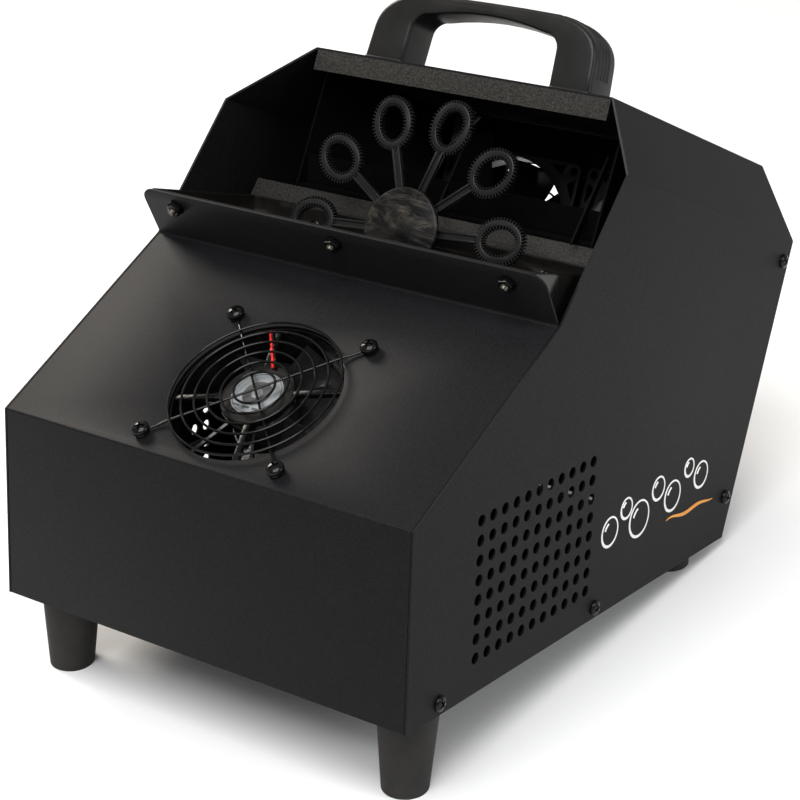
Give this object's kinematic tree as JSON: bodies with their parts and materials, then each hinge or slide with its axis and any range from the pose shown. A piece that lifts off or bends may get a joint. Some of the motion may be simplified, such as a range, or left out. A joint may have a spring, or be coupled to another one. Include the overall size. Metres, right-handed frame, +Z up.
{
  "type": "bubble machine",
  "caption": "Sheet-metal bubble machine with a dipping wand wheel in an open fluid tank, three fans, a carry handle and raised front feet.",
  "frame": {"origin": "centre of the bounding box at floor level", "axes": "+X to the right seen from the front, +Y from the front panel to the rear, +Z up"},
  "size_m": [0.2554, 0.4034, 0.3032],
  "materials": {
    "powder_coat": "fine textured black powder coat, satin",
    "black_plastic": "satin moulded",
    "gloss_plastic": "glossy moulded, lightly scuffed",
    "rubber": "matte, slightly dusty",
    "black_steel": "glossy black-coated wire and screws",
    "steel": "plain zinc-plated steel"
  },
  "bodies": {
    "housing": {"base_plate": "powder_coat", "front_panel": "powder_coat", "side_panel_left": "powder_coat", "side_panel_right": "powder_coat", "top_cover": "powder_coat", "rear_panel": "powder_coat", "air_duct": "powder_coat", "air_guide": "powder_coat", "rear_ledge": "powder_coat", "bubble_tank": "gloss_plastic", "motor_bracket": "steel", "gear_motor": "steel", "front_fan_frame": "black_plastic", "front_fan_guard": "black_steel", "front_fan_screw_lower_left": "black_steel", "front_fan_screw_lower_right": "black_steel", "front_fan_screw_upper_left": "black_steel", "front_fan_screw_upper_right": "black_steel", "rear_fan_left_frame": "black_plastic", "rear_fan_left_guard": "black_steel", "rear_fan_right_frame": "black_plastic", "rear_fan_right_guard": "black_steel", "carry_handle": "black_plastic", "front_foot_left": "rubber", "rear_foot_left": "rubber", "side_screw_left_1": "black_steel", "side_screw_left_2": "black_steel", "side_screw_left_3": "black_steel", "side_screw_left_4": "black_steel", "tank_screw_left": "black_steel", "front_foot_right": "rubber", "rear_foot_right": "rubber", "side_screw_right_1": "black_steel", "side_screw_right_2": "black_steel", "side_screw_right_3": "black_steel", "side_screw_right_4": "black_steel", "tank_screw_right": "black_steel", "lip_bolt_1": "steel", "lip_nut_1": "black_steel", "lip_bolt_2": "steel", "lip_nut_2": "black_steel", "lip_bolt_3": "steel", "lip_nut_3": "black_steel", "power_inlet": "black_plastic", "switch_housing": "black_plastic", "power_supply": "steel", "terminal_block": "black_plastic"},
    "wand_wheel": {"bubble_wheel": "black_plastic", "hub_cap": "gloss_plastic", "drive_shaft": "steel"},
    "front_fan": {"front_fan_rotor": "gloss_plastic"},
    "rear_fan_left": {"rear_fan_left_rotor": "gloss_plastic"},
    "rear_fan_right": {"rear_fan_right_rotor": "gloss_plastic"},
    "rocker": {"power_rocker": "gloss_plastic"}
  },
  "joints": [
    {"name": "wheel_spin", "type": "hinge", "parent": "housing", "child": "wand_wheel", "pos_m": [0, -0.0149, 0.2047], "axis": [0, -0.8808, 0.4735], "continuous": true},
    {"name": "front_fan_spin", "type": "hinge", "parent": "housing", "child": "front_fan", "pos_m": [0, -0.14127, 0.16539], "axis": [0, -0.3857, 0.9226], "continuous": true},
    {"name": "rear_fan_left_spin", "type": "hinge", "parent": "housing", "child": "rear_fan_left", "pos_m": [-0.0479, 0.15299, 0.13702], "axis": [0, -0.8841, 0.4672], "continuous": true},
    {"name": "rear_fan_right_spin", "type": "hinge", "parent": "housing", "child": "rear_fan_right", "pos_m": [0.0479, 0.15299, 0.13702], "axis": [0, -0.8841, 0.4672], "continuous": true},
    {"name": "rocker_press", "type": "hinge", "parent": "housing", "child": "rocker", "pos_m": [-0.034, 0.11466, 0.0388], "axis": [1, 0, 0], "range_deg": [0, 22]}
  ]
}
